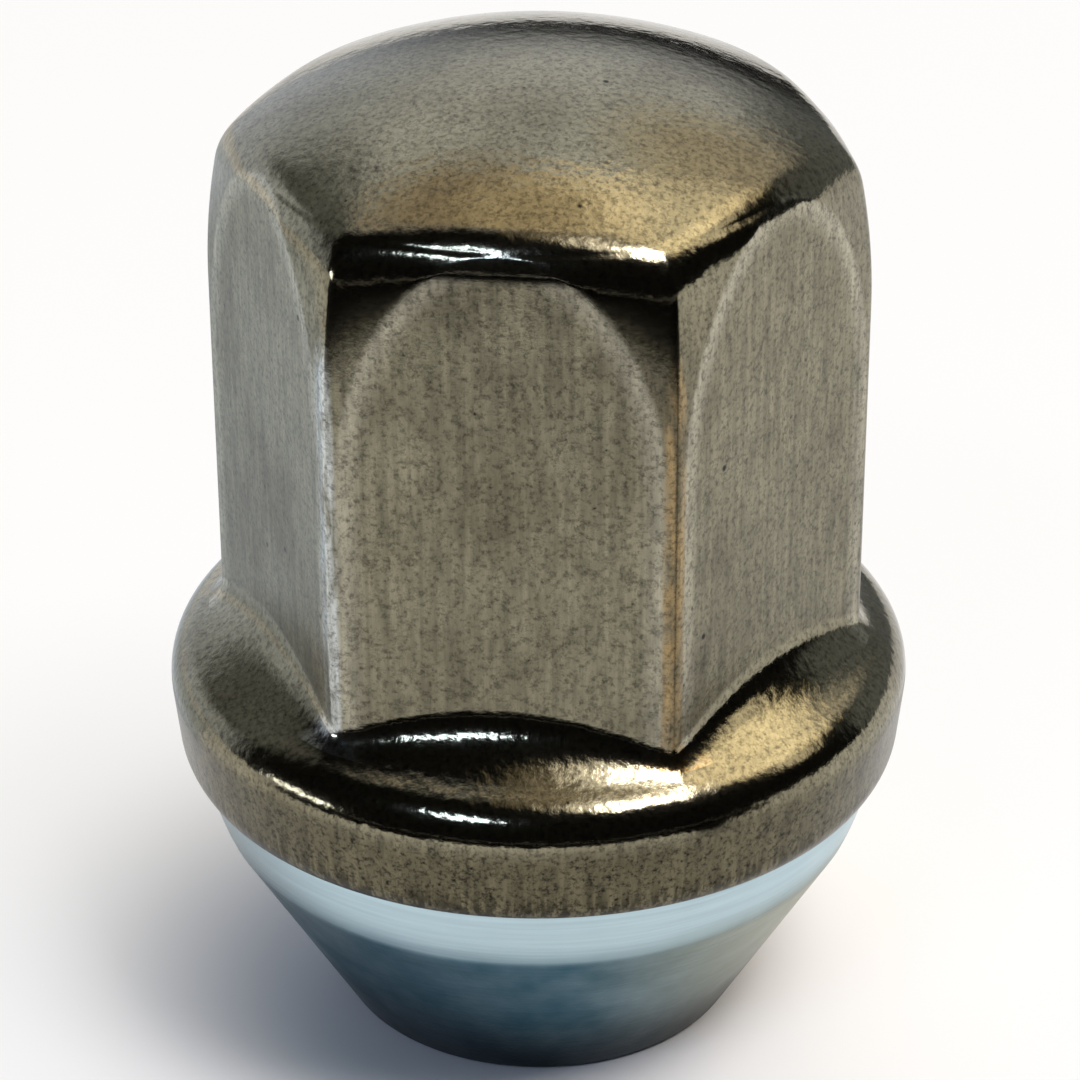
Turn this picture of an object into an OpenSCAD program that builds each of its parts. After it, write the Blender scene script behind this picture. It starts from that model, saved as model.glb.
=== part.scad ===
// Capped lug nut: a drawn stainless cap on a plated steel nut with a conical seat.
// Millimetres. +Z runs up the thread's axis, z = 0 is the flat small end of the seat,
// and two corners of the hexagon lie on the X axis.

/* [Hexagon] */
// Width across the cap's flats
across_flats = 21; // [19.5:0.1:22]
// Radius of the cap's upright corners
corner_round = 0.6; // [0.6:0.1:1.2]

/* [Crown] */
// Height from the seat's small end to the top of the dome
overall_height = 38.1; // [37:0.1:42]
// Radius of the dome
dome_radius = 21.4; // [19:0.1:26]
// Radius of the shoulder between dome and side, at the middle of each flat
flat_shoulder = 1.9; // [1.2:0.1:2.2]
// Radius of the same shoulder at the corners
corner_shoulder = 2.5; // [2.4:0.1:4]
// Height at which each flat starts to narrow to its arched top
arch_level = 26; // [24:0.1:29]
// How far each arch runs on past the upright part of its flat
arch_rise = 1; // [0.6:0.1:1.4]
// How crisply each flat ends along its arch, from 0 for a soft bend to 1 for a straight facet
arch_crease = 0.8; // [0:0.05:0.9]
// Radius of the bow along which each corner leans in below its shoulder
corner_bow = 25; // [20:1:40]
// Height at which that bow starts
bow_level = 29; // [27:0.1:30]

/* [Flange] */
// Largest diameter of the cap's round flange
flange_diameter = 27.7; // [27:0.1:29]
// Height of the flange's widest line
flange_level = 13.7; // [13.3:0.1:15]
// Slope of the flange's top from level, in degrees
flange_slope = 28; // [20:1:35]
// Share of the room between flat and rim that the hollow at the flat's foot takes up
foot_share = 0.65; // [0.3:0.05:0.7]
// Radius of the rim between the flange's top and the skirt
rim_round = 1.9; // [1.4:0.1:2.4]

/* [Skirt] */
// Height of the skirt's lower edge
skirt_level = 10.7; // [10:0.1:11.2]
// How far the skirt leans in towards its lower edge, in degrees
skirt_lean = 6; // [4:1:10]
// Radius of the roll at the skirt's lower edge
roll_radius = 1.5; // [1.2:0.1:2]
// Lean of the rolled edge itself, in degrees
roll_lean = 40; // [30:1:50]

/* [Sheet] */
// Thickness of the cap's sheet
sheet = 0.5; // [0.4:0.05:0.55]
// Room between the sheet and the nut inside it
cap_gap = 0.03; // [0.03:0.01:0.08]

/* [Seat] */
// Diameter of the seat's flat small end, before its edge is rounded
seat_end_diameter = 15.2; // [14.4:0.1:15.8]
// Angle of the seat's cone, from side to side, in degrees
seat_angle = 60; // [56:1:62]
// Height of the cone
seat_height = 7.9; // [7:0.1:8.4]
// Radius of the edge round the small end
seat_edge_round = 0.4; // [0.2:0.1:0.6]
// Half of the turn that the band above the cone bends through, in degrees
band_bend = 10; // [4:1:12]

/* [Thread] */
// Nominal diameter of the thread
thread_diameter = 12; // [10:0.5:12]
// Pitch of the thread
thread_pitch = 1.5; // [1:0.25:1.75]
// How far the lead-in at each end is wider than the thread, on the radius
lead_in = 0.3; // [0.1:0.1:0.5]

/* [Core] */
// Empty height between the nut's top and the inside of the dome
stud_space = 6.8; // [5.5:0.1:12]
// How much the core's corners are turned down below the cap's inner corners
corner_relief = 0.15; // [0.1:0.05:0.4]
// Slope of the chamfer round the core's top, from level, in degrees
core_chamfer_slope = 30; // [20:1:40]

/* [Hidden] */
$fn = 96;

// Steps along each curve of the sheet's section and round each side of the cap
dome_steps = 5;
shoulder_steps = 5;
arch_steps = 6;
foot_steps = 6;
rim_steps = 5;
roll_steps = 2;
corner_steps = 3;
half_flat_steps = 5;
turned_edge_steps = 6;
// Powers that draw rings together at the top of the arches and points together beside the corners,
// and the least share of a half side that the points of a flat spread over
arch_power = 2;
corner_power = 1.5;
least_spread = 0.2;

// Hexagon
sides = 6;
half_side = 180 / sides;
apothem = across_flats / 2;
corner_reach = (apothem - corner_round) / cos(half_side) + corner_round;
side_half_width = (apothem - corner_round) * tan(half_side);
ridge_blend = corner_round / 3;

// Crown: its upright sections at a flat and at a corner, as arcs from the side up to the dome,
// each [centre, radius]; neighbours touch without a kink
dome = [[0, overall_height - dome_radius], dome_radius];
flat_centre = under_dome(apothem - flat_shoulder, flat_shoulder);
flat_arcs = [[flat_centre, flat_shoulder], dome];
bow = [[corner_reach - corner_bow, bow_level], corner_bow];
corner_arcs = [bow, [inside_both(bow, dome, corner_shoulder), corner_shoulder], dome];

// Flange and skirt
rim_centre = [flange_diameter / 2 - rim_round, flange_level];
foot_reach = apothem - sheet - cap_gap - foot_share * (flange_diameter / 2 - apothem);
skirt_top = rim_centre + rim_round * [cos(skirt_lean), -sin(skirt_lean)];
roll_drop = roll_radius * (sin(roll_lean) - sin(skirt_lean));
skirt_length = (skirt_top[1] - roll_drop - skirt_level) / cos(skirt_lean);
skirt_end = skirt_top - skirt_length * [sin(skirt_lean), cos(skirt_lean)];
roll_centre = skirt_end - roll_radius * [cos(skirt_lean), -sin(skirt_lean)];

// Nut
nut_depth = sheet + cap_gap;
core_apothem = apothem - nut_depth;
core_top = overall_height - sheet - stud_space;
core_reach = section_reach(corner_arcs, core_top, nut_depth) - corner_relief;
core_chamfer = (core_reach - core_apothem) * tan(core_chamfer_slope);
thread_flank = 30;
thread_depth = 5 / 8 * cos(thread_flank) * thread_pitch;
bore_radius = thread_diameter / 2 - thread_depth;
lead_in_radius = thread_diameter / 2 + lead_in;
lead_in_depth = lead_in_radius - bore_radius;
seat_half_angle = seat_angle / 2;
cone_end = [seat_end_diameter / 2 + seat_height * tan(seat_half_angle), seat_height];
cut_margin = 1;

// Points along an arc, as [radius, height]
function arc(centre, radius, from, to, steps) = [
    for (i = [0:steps])
        let (angle = from + (to - from) * i / steps)
            centre + radius * [cos(angle), sin(angle)]
];

// Points along the arc that joins two points and bends to the left by twice half_turn on the way
function arc_between(start, end, half_turn, steps) =
    let (
        chord = end - start,
        radius = norm(chord) / 2 / sin(half_turn),
        heading = atan2(chord[1], chord[0]),
        to_start = heading - half_turn - 90,
        to_end = heading + half_turn - 90
    )
    arc(start - radius * [cos(to_start), sin(to_start)], radius, to_start, to_end, steps);

// The larger or the smaller of two lengths, with a soft change-over of width k
function soft_max(a, b, k) =
    let (share = max(k - abs(a - b), 0) / k)
        max(a, b) + share * share * k / 4;
function soft_min(a, b, k) = -soft_max(-a, -b, k);

// Distance from the axis to a ring, at an angle off one of its corners: each side has a plain part
// of a given half width, then a facet to the corner. At roundness 0 the facet is straight,
// at 1 it is a conic arc that touches the plain part.
function side_at(off, flat, plain, corner, roundness) =
    let (
        off_middle = half_side - off,
        ridge = corner + ridge_blend / 4,
        near = facet_at(off, flat, plain, ridge),
        far = facet_at(-off, flat, plain, ridge),
        facet = soft_min(near, far, ridge_blend)
    )
    flat * tan(off_middle) <= plain
        ? flat / cos(off_middle)
        : facet * (1 - roundness)
            + roundness * conic_at(off, flat / cos(half_side), flat * tan(half_side) - plain, corner);

// The facet is the line from the flat's plain end to the ridge
function facet_at(off, flat, plain, ridge) =
    let (
        edge = half_side - atan2(plain, flat),
        end = norm([flat, plain]) * [cos(edge), sin(edge)]
    )
    ridge * end[1] / (cos(off) * end[1] - sin(off) * (end[0] - ridge));

// The conic arc touches both flats at a distance run from peak, the sharp corner that it rounds off
function conic_at(off, peak, run, corner) =
    let (
        inward = run * sin(half_side),
        across = run * cos(half_side),
        weight = pow(inward / (peak - corner) - 1, 2),
        s = cos(off) / inward,
        start = peak / inward,
        a = pow(s, 2) * (1 - weight) + weight * pow(sin(off) / across, 2),
        b = s * (1 - start + weight * start),
        c = pow(1 - start, 2) - weight * pow(start, 2),
        root = sqrt(pow(b, 2) - a * c)
    )
    b < 0 ? (root - b) / a : -c / (b + root);

// How far height z has come from the arch's start to its top, from 0 to 1
function arch_share(z) = min(max((z - arch_level) / (flat_centre[1] + arch_rise - arch_level), 0), 1);

// Roundness of the facets at height z: full below the arches and on the dome
function facet_roundness(z, depth) =
    let (
        touch = touch_level(flat_arcs[0], dome, depth),
        fall = min(max((touch - z) / (touch - flat_centre[1]), 0), 1)
    )
    1 - arch_crease * min(2 * arch_share(z), 1) * pow(fall, 2) * (3 - 2 * fall);

// Centre of an arc at a distance from the axis that touches the dome from inside
function under_dome(inset, radius) =
    dome[0] + [inset, sqrt(pow(dome[1] - radius, 2) - pow(inset, 2))];

// Centre of an arc that touches two larger ones from inside,
// on the left of the way from the first to the second
function inside_both(first, second, radius) =
    let (
        gap = second[0] - first[0],
        way = gap / norm(gap),
        reach = first[1] - radius,
        along = (pow(reach, 2) - pow(second[1] - radius, 2) + gap * gap) / 2 / norm(gap),
        across = sqrt(pow(reach, 2) - pow(along, 2))
    )
    first[0] + along * way + across * [-way[1], way[0]];

// Height at which two arcs touch, at a depth below the outer face
function touch_level(first, second, depth) =
    let (
        large = first[1] > second[1] ? first : second,
        small = first[1] > second[1] ? second : first,
        way = small[0] - large[0]
    )
    large[0][1] + (large[1] - depth) * way[1] / norm(way);

// Distance from the axis to an upright section at height z and a depth below the outer face,
// upright below the first arc's centre
function section_reach(arcs, z, depth, i = 0) =
    let (
        centre = arcs[i][0],
        radius = arcs[i][1] - depth,
        above = i + 1 < len(arcs) && z > touch_level(arcs[i], arcs[i + 1], depth)
    )
    above
        ? section_reach(arcs, z, depth, i + 1)
        : centre[0] + sqrt(pow(radius, 2) - pow(i == 0 ? max(z - centre[1], 0) : z - centre[1], 2));

// Heights of the crown's rings at a depth below the outer face, from beside the apex down
function crown_levels(depth) =
    let (
        way = flat_centre - dome[0],
        touch = atan2(way[1], way[0]),
        arch_drop = flat_centre[1] - arch_level
    )
    concat(
        [
            for (i = [1:dome_steps - 1])
                dome[0][1] + (dome_radius - depth) * sin(90 - (90 - touch) * i / dome_steps)
        ],
        [
            for (i = [0:shoulder_steps])
                flat_centre[1] + (flat_shoulder - depth) * sin(touch * (1 - i / shoulder_steps))
        ],
        [for (i = [1:arch_steps]) flat_centre[1] - arch_drop * pow(i / arch_steps, arch_power)]
    );

// Section of the flange and the skirt at a depth below the outer face, from under the flats down
function flange_section(depth) =
    let (
        rim = arc(rim_centre, rim_round - depth, 90 - flange_slope, -skirt_lean, rim_steps),
        foot_top = [foot_reach, rim[0][1] + (rim[0][0] - foot_reach) * tan(flange_slope)],
        foot = [for (i = [0:foot_steps - 1]) foot_top + (rim[0] - foot_top) * i / foot_steps],
        roll = arc(roll_centre, roll_radius - depth, -skirt_lean, -roll_lean, roll_steps)
    )
    concat(foot, rim, roll);

// Angles of a ring's points off a corner, over half a side: first the facet's, then the plain part's
function half_side_angles(flat, plain) =
    let (edge = half_side - atan2(max(plain, least_spread * flat), flat))
        concat(
            [for (i = [0:corner_steps - 1]) edge * pow(i / corner_steps, corner_power)],
            [for (i = [0:half_flat_steps]) edge + (half_side - edge) * i / half_flat_steps]
        );

// One ring of the sheet: a hexagon with arched flats, or the flange where that reaches further out
function ring(z, depth, flange) =
    let (
        flat = section_reach(flat_arcs, z, depth),
        corner = section_reach(corner_arcs, z, depth),
        plain = side_half_width * sqrt(1 - pow(arch_share(z), 2)),
        angles = half_side_angles(flat, plain),
        last = len(angles) - 1
    )
    [
        for (k = [0:sides - 1], i = [-last:last - 1])
            let (
                off = angles[abs(i)],
                angle = 2 * half_side * k + sign(i) * off,
                side = side_at(off, flat, plain, corner, facet_roundness(z, depth)),
                room = flange_diameter / 2 - depth - side,
                r = soft_max(side, flange, foot_share * room)
            )
            [r * cos(angle), r * sin(angle), z]
    ];

// Rings of one face of the sheet, from the crown down to the skirt's edge
function sheet_rings(depth) = concat(
    [for (z = crown_levels(depth)) ring(z, depth, 0)],
    [for (p = flange_section(depth)) ring(p[1], depth, p[0])]
);

// The cap: down the inner face, round the skirt's edge and up the outer face
module stainless_cap() {
    inner = sheet_rings(sheet);
    outer = sheet_rings(0);
    rings = concat(inner, [for (i = [len(outer) - 1:-1:0]) outer[i]]);
    n = len(outer[0]);
    half = n / sides / 2;
    last = len(rings) - 1;
    inner_apex = n * len(rings);
    outer_apex = inner_apex + 1;
    points = concat(
        [for (r = rings) each r],
        [[0, 0, overall_height - sheet], [0, 0, overall_height]]
    );
    // Diagonals are mirrored at the corners and at the middle of the flats, and alike on both faces
    walls = [
        for (k = [0:last - 1], i = [0:n - 1])
            let (
                a = k * n + i,
                b = k * n + (i + 1) % n,
                before_corner = floor(i / half) % 2 == 0
            )
            each before_corner == (k < len(inner))
                ? [[a, b, b + n], [a, b + n, a + n]]
                : [[a, b, a + n], [b, b + n, a + n]]
    ];
    inner_fan = [for (i = [0:n - 1]) [(i + 1) % n, i, inner_apex]];
    outer_fan = [for (i = [0:n - 1]) [last * n + i, last * n + (i + 1) % n, outer_apex]];
    color("#8f8982")
        polyhedron(points = points, faces = concat(walls, inner_fan, outer_fan));
}

// Section of the turned part of the nut: small end, cone, band, and the collar inside the skirt
function turned_section() =
    let (
        collar = flange_section(nut_depth),
        under_skirt = collar[len(collar) - 1],
        edge_set_back = seat_edge_round * tan(45 - seat_half_angle / 2),
        edge_centre = [seat_end_diameter / 2 - edge_set_back, seat_edge_round],
        edge = arc(edge_centre, seat_edge_round, -90, -seat_half_angle, turned_edge_steps),
        band = arc_between(cone_end, under_skirt, band_bend, turned_edge_steps)
    )
    concat(
        [[0, 0]],
        edge,
        band,
        [for (i = [len(collar) - 2:-1:0]) collar[i]],
        [[0, collar[0][1]]]
    );

// Hexagon core with turned corners and a chamfered top
module core() {
    intersection() {
        cylinder(r = core_apothem / cos(half_side), h = core_top, $fn = sides);
        rotate_extrude()
            polygon([
                [0, flange_level],
                [core_reach, flange_level],
                [core_reach, core_top - core_chamfer],
                [core_apothem, core_top],
                [0, core_top]
            ]);
    }
}

// Threaded bore at its inner diameter, with a lead-in at both ends
module bore() {
    translate([0, 0, -cut_margin])
        cylinder(r = bore_radius, h = core_top + 2 * cut_margin);
    lead_in_cut();
    translate([0, 0, core_top])
        mirror([0, 0, 1])
            lead_in_cut();
}

module lead_in_cut() {
    translate([0, 0, -cut_margin])
        cylinder(r1 = lead_in_radius + cut_margin, r2 = bore_radius, h = lead_in_depth + cut_margin);
}

// The nut: turned seat and collar, hexagon core, bore
module nut_body() {
    color("#9fb3ba")
        difference() {
            union() {
                rotate_extrude()
                    polygon(turned_section());
                core();
            }
            bore();
        }
}

stainless_cap();
nut_body();
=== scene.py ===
"""Dresses a capped lug nut: a drawn stainless cap rolled over a zinc-plated steel nut.

Both pieces are lofted here from the sizes of the CAD source, finer than the solids,
with the rounded edge of the sheet and the thread that the solids leave out.
"""

from math import atan2, cos, pi, radians, sin, sqrt, tan

import bpy
import numpy as np
from bpy.props import FloatProperty, FloatVectorProperty, PointerProperty
from mathutils import Matrix, Quaternion, Vector


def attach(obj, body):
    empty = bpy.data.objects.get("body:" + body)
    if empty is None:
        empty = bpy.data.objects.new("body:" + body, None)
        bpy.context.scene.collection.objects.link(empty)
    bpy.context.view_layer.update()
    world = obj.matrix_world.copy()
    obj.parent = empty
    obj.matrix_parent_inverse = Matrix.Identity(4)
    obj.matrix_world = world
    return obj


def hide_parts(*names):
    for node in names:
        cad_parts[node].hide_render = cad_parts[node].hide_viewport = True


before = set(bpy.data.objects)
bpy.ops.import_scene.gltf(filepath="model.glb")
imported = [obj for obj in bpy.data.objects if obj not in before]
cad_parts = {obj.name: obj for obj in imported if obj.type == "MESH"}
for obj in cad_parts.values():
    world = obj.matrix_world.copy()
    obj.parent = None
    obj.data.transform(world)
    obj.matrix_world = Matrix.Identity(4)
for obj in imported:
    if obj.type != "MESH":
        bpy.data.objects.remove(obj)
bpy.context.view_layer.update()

bl_info = {
    "name": "Capped Lug Nut",
    "version": (1, 0, 0),
    "blender": (4, 5, 0),
    "location": "3D View > Sidebar > Lug Nut",
    "description": "Builds the drawn cap, the plated nut inside it and a plain studio",
    "category": "Object",
}

MM = 0.001
# Angle from the middle of a flat to a corner
HALF_SIDE = pi / 6
# Sockets of a Mix node that mixes colours
MIX_FACTOR, MIX_A, MIX_B, MIX_RESULT = 0, 6, 7, 2

# Mesh steps of the cap: round a ring, and down each face of the sheet as
# (dome, shoulder, arch), wall, (foot, rim, skirt, roll)
CORNER_STEPS, FLAT_STEPS = 14, 14
OUTER_STEPS = (30, 26, 40), 16, (30, 16, 8, 10)
INNER_STEPS = (10, 6, 6), 4, (6, 6, 3, 4)
CUT_EDGE_STEPS = 10
# Power that crowds a ring's points towards its corners, and the arch's rings towards its top
CROWDING = 1.5
# Least half width that a flat's points are spread over, as a share of its distance from the axis
LEAST_SPREAD = 0.2
# Bounds that keep the distance to a flat's edge finite in the flat's middle
LEAST_LEVEL, LEAST_SLOPE = 1e-6, 1e-3

# Mesh steps of the nut
ROUND_STEPS = 192
END_STEPS, EDGE_STEPS, CONE_STEPS, BAND_STEPS = 4, 10, 24, 16
COLLAR_STEPS = (6, 8, 3, 6)
CORE_STEPS, TOP_STEPS, STEPS_PER_PITCH = 12, 4, 12

# Metric thread: slope of its flanks from level, its depth as a share of the sharp profile's,
# and the width of its root as a share of the pitch
THREAD_FLANK = radians(30)
THREAD_DEPTH_SHARE = 5 / 8
THREAD_ROOT_SHARE = 1 / 8

# Marks on the cap, in mm: heights between which painted shade darkens the flats, half the height over which
# the skirt's painted shade and dirt fade in at the flange's widest line, and where the tool marks start and
# are full above the skirt's edge
FLAT_BRIGHT, FLAT_DARK = 33.0, 17.0
SKIRT_SHADE_FADE = 0.5
TOOL_MARKS_START, TOOL_MARKS_FULL = 1.5, 0.2
# Corner marks, a brown tint and a painted highlight, each as its turn in degrees and how far along that, in
# mm, it starts and is full
BROWNED_CORNER = (30, 11.82, 11.97)
HIGHLIGHT_CORNER = (-45, 11.44, 11.58)

# Stage, in metres, with turns from the front to the right
FLOOR_RADIUS, FLOOR_STEPS = 2.0, 96
SHADED_RADIUS, LIT_RADIUS = 9 * MM, 24 * MM
LAMP_DISTANCE = 0.8
AIM_HEIGHT = 20 * MM
FLAG_LIFT = 0.5 * MM
CLOTH_HALF_TURN, CLOTH_STEPS = 1.25, 40
CLOTH_NEAR, CLOTH_FAR = 85 * MM, 1.2
TONGUE_NEAR = 34 * MM
TONGUE_TURNS = (0.78, 0.84, 0.98, 1.04)
CARD_TURNS, CARD_STEPS = (radians(-150), radians(-100)), 10
CARD_NEAR, CARD_FAR = 26 * MM, 160 * MM
CLIP_START = 10 * MM


def linear(code):
    """Linear RGBA of an sRGB hex colour."""
    parts = [int(code[i:i + 2], 16) / 255 for i in (1, 3, 5)]
    return (*[p / 12.92 if p <= 0.04045 else ((p + 0.055) / 1.055) ** 2.4 for p in parts], 1.0)


def length(name, description, millimetres):
    """A length, with its default in millimetres."""
    return FloatProperty(
        name=name, description=description, default=millimetres * MM, unit="LENGTH", precision=5)


def factor(name, description, default, lowest, highest):
    """A share without a unit."""
    return FloatProperty(
        name=name, description=description, default=default, min=lowest, max=highest, subtype="FACTOR")


def angle(name, description, degrees):
    """An angle, with its default in degrees."""
    return FloatProperty(name=name, description=description, default=radians(degrees), subtype="ANGLE")


def colour(name, description, code):
    """A colour, with its default as an sRGB hex value."""
    return FloatVectorProperty(
        name=name, description=description, default=linear(code), size=4, min=0.0, max=1.0, subtype="COLOR")


class CapSizes(bpy.types.PropertyGroup):
    """Sizes of the drawn cap"""

    across_flats: length("Across flats", "Width across the cap's flats", 21.0)
    corner_round: length("Corner round", "Radius of the upright corners", 0.6)
    overall_height: length("Overall height", "From the seat's small end to the top of the dome", 38.1)
    dome_radius: length("Dome radius", "Radius of the dome", 21.4)
    flat_shoulder: length("Flat shoulder", "Radius of the shoulder in the middle of each flat", 1.9)
    corner_shoulder: length("Corner shoulder", "Radius of the shoulder at the corners", 2.5)
    arch_level: length("Arch level", "Height at which each flat starts to narrow to its arched top", 26.0)
    arch_rise: length("Arch rise", "How far each arch runs on past the upright part of its flat", 1.0)
    arch_crease: factor("Arch crease", "How crisply each flat ends along its arch", 0.8, 0.0, 0.9)
    corner_bow: length("Corner bow", "Radius of the bow along which each corner leans in", 25.0)
    bow_level: length("Bow level", "Height at which that bow starts", 29.0)
    flange_diameter: length("Flange diameter", "Largest diameter of the round flange", 27.7)
    flange_level: length("Flange level", "Height of the flange's widest line", 13.7)
    flange_slope: angle("Flange slope", "Slope of the flange's top from level", 28.0)
    foot_share: factor(
        "Foot share", "Share of the room between flat and rim that the hollow at the flat's foot takes up",
        0.65, 0.3, 0.7)
    rim_round: length("Rim round", "Radius between the flange's top and the skirt", 1.9)
    skirt_level: length("Skirt level", "Height of the skirt's lower edge", 10.7)
    skirt_lean: angle("Skirt lean", "How far the skirt leans in towards its lower edge", 6.0)
    roll_radius: length("Roll radius", "Radius of the roll at the skirt's lower edge", 1.5)
    roll_lean: angle("Roll lean", "Lean of the rolled edge itself", 40.0)
    sheet: length("Sheet", "Thickness of the sheet", 0.5)
    edge_round: length("Edge round", "How far the sheet's cut edge is rounded off", 0.15)


class NutSizes(bpy.types.PropertyGroup):
    """Sizes of the plated nut inside the cap"""

    cap_gap: length("Cap gap", "Room between the sheet and the nut", 0.03)
    seat_end_diameter: length("Seat end", "Diameter of the seat's small end before the edge's round", 15.2)
    seat_angle: angle("Seat angle", "Angle of the seat's cone from side to side", 60.0)
    seat_height: length("Seat height", "Height of the cone", 7.9)
    seat_edge_round: length("Seat edge round", "Radius of the edge round the small end", 0.4)
    band_bend: angle("Band bend", "Half of the turn that the band above the cone bends through", 10.0)
    thread_diameter: length("Thread diameter", "Nominal diameter of the thread", 12.0)
    thread_pitch: length("Thread pitch", "Pitch of the thread", 1.5)
    lead_in: length("Lead-in", "How far each end of the bore is wider than the thread, on the radius", 0.3)
    stud_space: length("Stud space", "Empty height between the nut's top and the dome", 6.8)
    corner_relief: length("Corner relief", "How much the core's corners are turned down", 0.15)
    core_chamfer_slope: angle("Core chamfer", "Slope of the chamfer round the core's top", 30.0)


class Finishes(bpy.types.PropertyGroup):
    """Colours of the two metals"""

    steel: colour("Stainless", "Drawn stainless sheet", "#8d8873")
    steel_dark: colour("Stainless, handled", "Duller patches that handling leaves on the sheet", "#76705d")
    # Painted highlight along the edges of the flats
    steel_highlit: colour("Stainless, rubbed", "Edges of the flats, rubbed bright", "#aca794")
    # Painted shade and dirt: the skirt, darker
    steel_dirt_and_shade: colour("Stainless, stained", "The skirt, stained darker", "#716b56")
    steel_tint: colour("Stainless, browned", "Brown tint along one corner", "#a68f68")
    # Painted highlight: a bright line along one corner
    steel_corner_highlight: colour("Stainless, polished", "Bright wear along the next corner", "#c4c8c5")
    pore: colour("Pores", "Dirt in the sheet's fine pores", "#221f1a")
    zinc: colour("Zinc plate", "Zinc with its pale blue passivation", "#b8ced6")
    # Teal film with painted shade, on the cone that faces down
    zinc_teal_shade: colour("Zinc plate, deep", "Passivation where it is thick, teal", "#255869")
    # Painted reflection of warm light, on the cone's right side
    zinc_warm_reflection: colour("Zinc plate, gold", "Passivation that has turned greenish gold on one side", "#8f9484")


class StageSettings(bpy.types.PropertyGroup):
    """Camera, floor and surroundings"""

    turn: angle("Turn", "Camera's turn round the nut from the front flat", 6.89)
    rise: angle("Rise", "Camera's height above level", 29.30)
    roll: angle("Roll", "Camera's turn round its own line of sight", -0.235)
    distance: length("Distance", "Camera's distance from the point that it looks at", 154.55)
    look_height: length("Look height", "Height of the point that the camera looks at", 18.677)
    lens: FloatProperty(
        name="Lens", description="Camera's focal length in millimetres", default=138.26, unit="CAMERA")
    shift: factor("Shift", "Sideways shift of the picture, as a share of its width", 0.0018, -0.1, 0.1)
    floor: colour("Floor", "Pale matt floor", "#f4f4f4")
    glow: colour("Floor glow", "Light that comes through the floor", "#fcfcfc")
    glow_share: factor("Glow share", "How much of the floor's brightness comes through it", 0.7, 0.0, 1.0)
    cloth: colour("Cloth", "Black cloth in front of the nut, which only the metal shows", "#0c0c0c")
    card: colour("Card", "Cool card at the nut's left, which only the metal shows", "#d8dfe6")
    room: colour("Room", "The dark room around the nut", "#1c1c1c")


def arc(centre, radius, start, end, steps):
    """Points along an arc, as (radius, height)."""
    turn = np.linspace(start, end, steps + 1)[:, None]
    return np.asarray(centre) + radius * np.hstack([np.cos(turn), np.sin(turn)])


def line(start, end, steps):
    """Points along a straight line, both ends included."""
    share = np.linspace(0.0, 1.0, steps + 1)[:, None]
    return np.asarray(start) * (1 - share) + np.asarray(end) * share


def soft_max(a, b, width):
    """The larger of two lengths, with a soft change-over."""
    share = np.maximum(width - np.abs(a - b), 0.0) / width
    return np.maximum(a, b) + share ** 2 * width / 4


def conic_corner(off, flat, plain, corner):
    """Distance from the axis to a conic arc that touches two flats where their plain parts end."""
    peak = flat / cos(HALF_SIDE)
    run = flat * tan(HALF_SIDE) - plain
    inward, across = run * sin(HALF_SIDE), run * cos(HALF_SIDE)
    weight = (inward / (peak - corner) - 1) ** 2
    s, start = np.cos(off) / inward, peak / inward
    a = s ** 2 * (1 - weight) + weight * (np.sin(off) / across) ** 2
    b = s * (1 - start + weight * start)
    c = (1 - start) ** 2 - weight * start ** 2
    root = np.sqrt(np.maximum(b ** 2 - a * c, 0.0))
    return (root - b) / a if b[0] < 0 else -c / (b + root)


def facet(off, flat, plain, ridge):
    """Distance from the axis to the straight line from a flat's plain end to the ridge beside it."""
    edge = HALF_SIDE - atan2(plain, flat)
    x, y = np.hypot(flat, plain) * np.array([cos(edge), sin(edge)])
    return ridge * y / (np.cos(off) * y - np.sin(off) * (x - ridge))


def hexagon(off, flat, plain, corner, roundness, ridge_blend):
    """Distance from the axis to a hexagon at angles off one of its corners.

    Its sides have a plain part of some half width. From there a facet runs to the corner, straight at
    roundness 0 and along a conic arc that touches the flat at roundness 1.
    """
    ridge = corner + ridge_blend / 4
    straight = -soft_max(-facet(off, flat, plain, ridge), -facet(-off, flat, plain, ridge), ridge_blend)
    conic = conic_corner(off, flat, plain, corner)
    return np.where(
        flat * np.tan(HALF_SIDE - off) <= plain,
        flat / np.cos(HALF_SIDE - off),
        straight + (conic - straight) * roundness)


def inside_both(first, second, radius):
    """Centre of an arc that touches two larger ones from inside, left of the way from first to second."""
    gap = second[0] - first[0]
    span = np.hypot(*gap)
    way = gap / span
    reach = first[1] - radius
    along = (reach ** 2 - (second[1] - radius) ** 2 + span ** 2) / 2 / span
    return first[0] + along * way + sqrt(reach ** 2 - along ** 2) * np.array([-way[1], way[0]])


def touch_level(first, second, depth):
    """Height at which two arcs touch, at a depth below the outer face."""
    large, small = (first, second) if first[1] > second[1] else (second, first)
    way = small[0] - large[0]
    return large[0][1] + (large[1] - depth) * way[1] / np.hypot(*way)


def section_reach(arcs, z, depth):
    """Distance from the axis to an upright section at height z, upright below its first arc's centre."""
    i = 0
    while i + 1 < len(arcs) and z > touch_level(arcs[i], arcs[i + 1], depth):
        i += 1
    centre, radius = arcs[i][0], arcs[i][1] - depth
    off = max(z - centre[1], 0.0) if i == 0 else z - centre[1]
    return centre[0] + sqrt(max(radius ** 2 - off ** 2, 0.0))


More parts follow.
